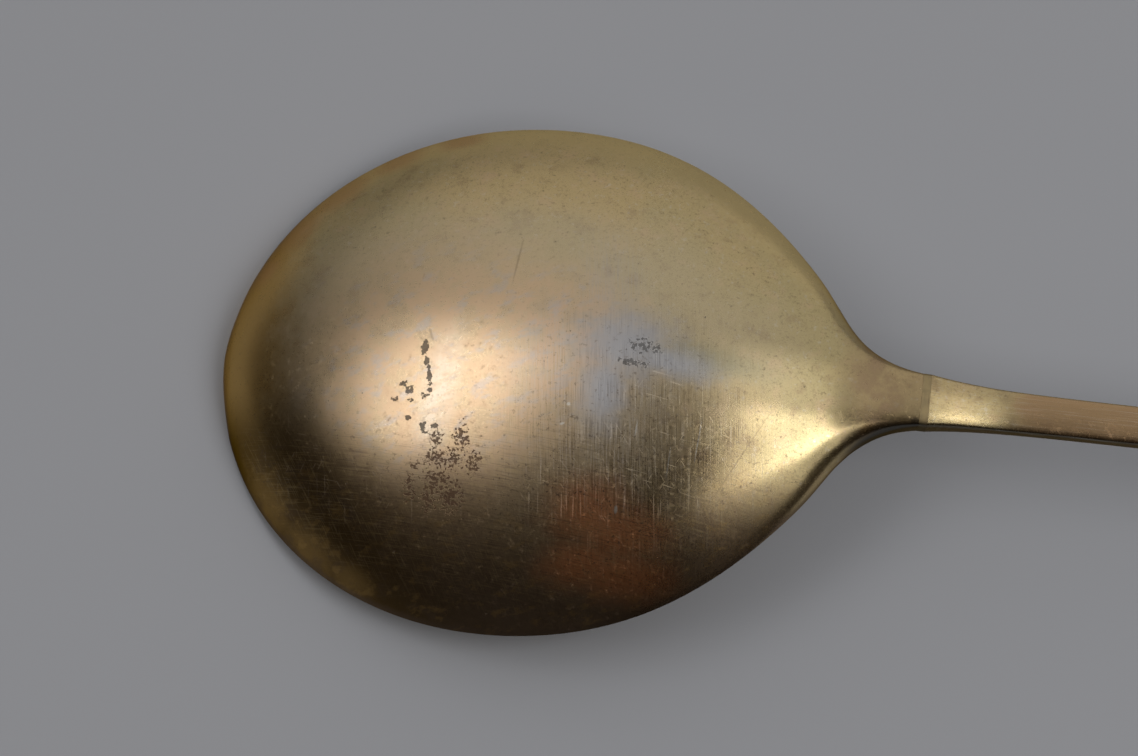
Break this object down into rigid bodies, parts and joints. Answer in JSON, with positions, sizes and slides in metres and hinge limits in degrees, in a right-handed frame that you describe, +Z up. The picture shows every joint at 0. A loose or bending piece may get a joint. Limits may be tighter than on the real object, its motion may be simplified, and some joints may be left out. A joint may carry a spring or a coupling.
{
  "type": "chocolate muddler",
  "caption": "Long-handled stirring spoon: an egg-shaped gilt bowl on a thin flat-backed stem, with a baluster knop and a flat muddling disc at the handle end.",
  "frame": {"origin": "on the ground under the middle of the object, which lies face down", "axes": "+X along the stem from the bowl's tip to the muddling disc, +Y across the bowl, +Z up out of the bowl's back"},
  "size_m": [0.216, 0.038, 0.019],
  "materials": {
    "silver_gilt": "worn satin gilding over silver, scratched and pitted",
    "silver_solder": "filed silver solder"
  },
  "bodies": {
    "root": {"bowl": "silver_gilt", "neck_solder": "silver_solder", "stem": "silver_gilt", "knop_solder": "silver_solder", "baluster_knop": "silver_gilt", "disc_solder": "silver_solder", "muddling_disc": "silver_gilt"}
  },
  "joints": []
}
